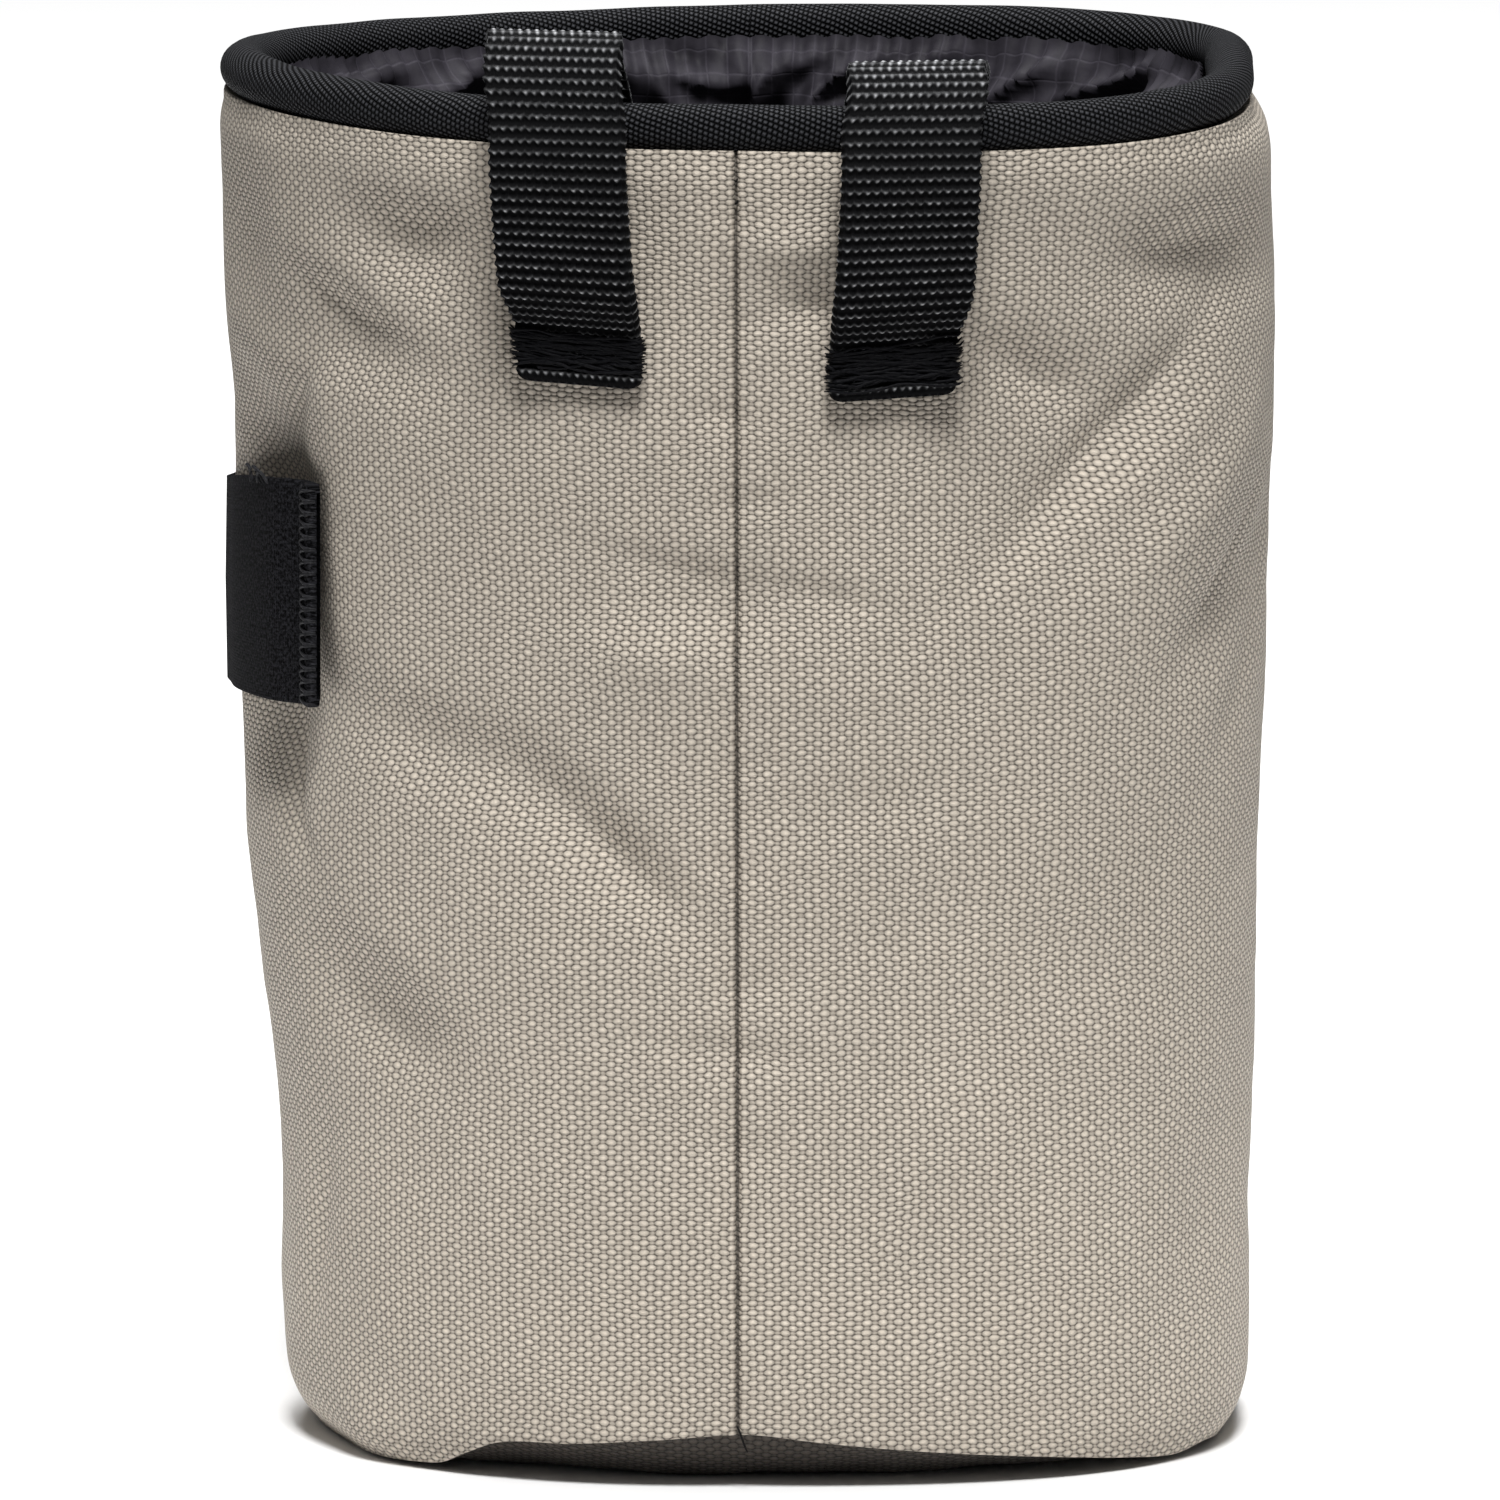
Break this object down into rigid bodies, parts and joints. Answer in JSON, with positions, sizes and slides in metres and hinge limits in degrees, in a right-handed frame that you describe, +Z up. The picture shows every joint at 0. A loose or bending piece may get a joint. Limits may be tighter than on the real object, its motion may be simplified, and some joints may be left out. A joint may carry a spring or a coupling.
{
  "type": "climbing chalk bag",
  "caption": "Round soft bucket of woven cloth with a bound open mouth, a gathered lining, webbing belt loops over the mouth and an elastic brush loop.",
  "frame": {"origin": "on the bag's axis, at the flat underside of the base panel, which rests on the floor", "axes": "+Z up along the bag's axis, -Y towards the side with the centre seam and the belt loops, -X towards the brush loop"},
  "size_m": [0.1235, 0.1321, 0.1702],
  "materials": {
    "woven_cloth": "coarse plain weave, matt with a slight sheen",
    "base_cloth": "coarse plain weave, matt with a slight sheen",
    "binding_tape": "diagonal twill tape, matt",
    "lining_cloth": "thin ripstop, satin",
    "webbing": "ribbed webbing, slight sheen",
    "elastic": "fine ribbed elastic, matt"
  },
  "bodies": {
    "root": {"bag_body": "woven_cloth", "base_panel": "base_cloth", "mouth_binding": "binding_tape", "lining": "lining_cloth", "belt_loop_left": "webbing", "belt_loop_right": "webbing", "brush_loop": "elastic"}
  },
  "joints": []
}
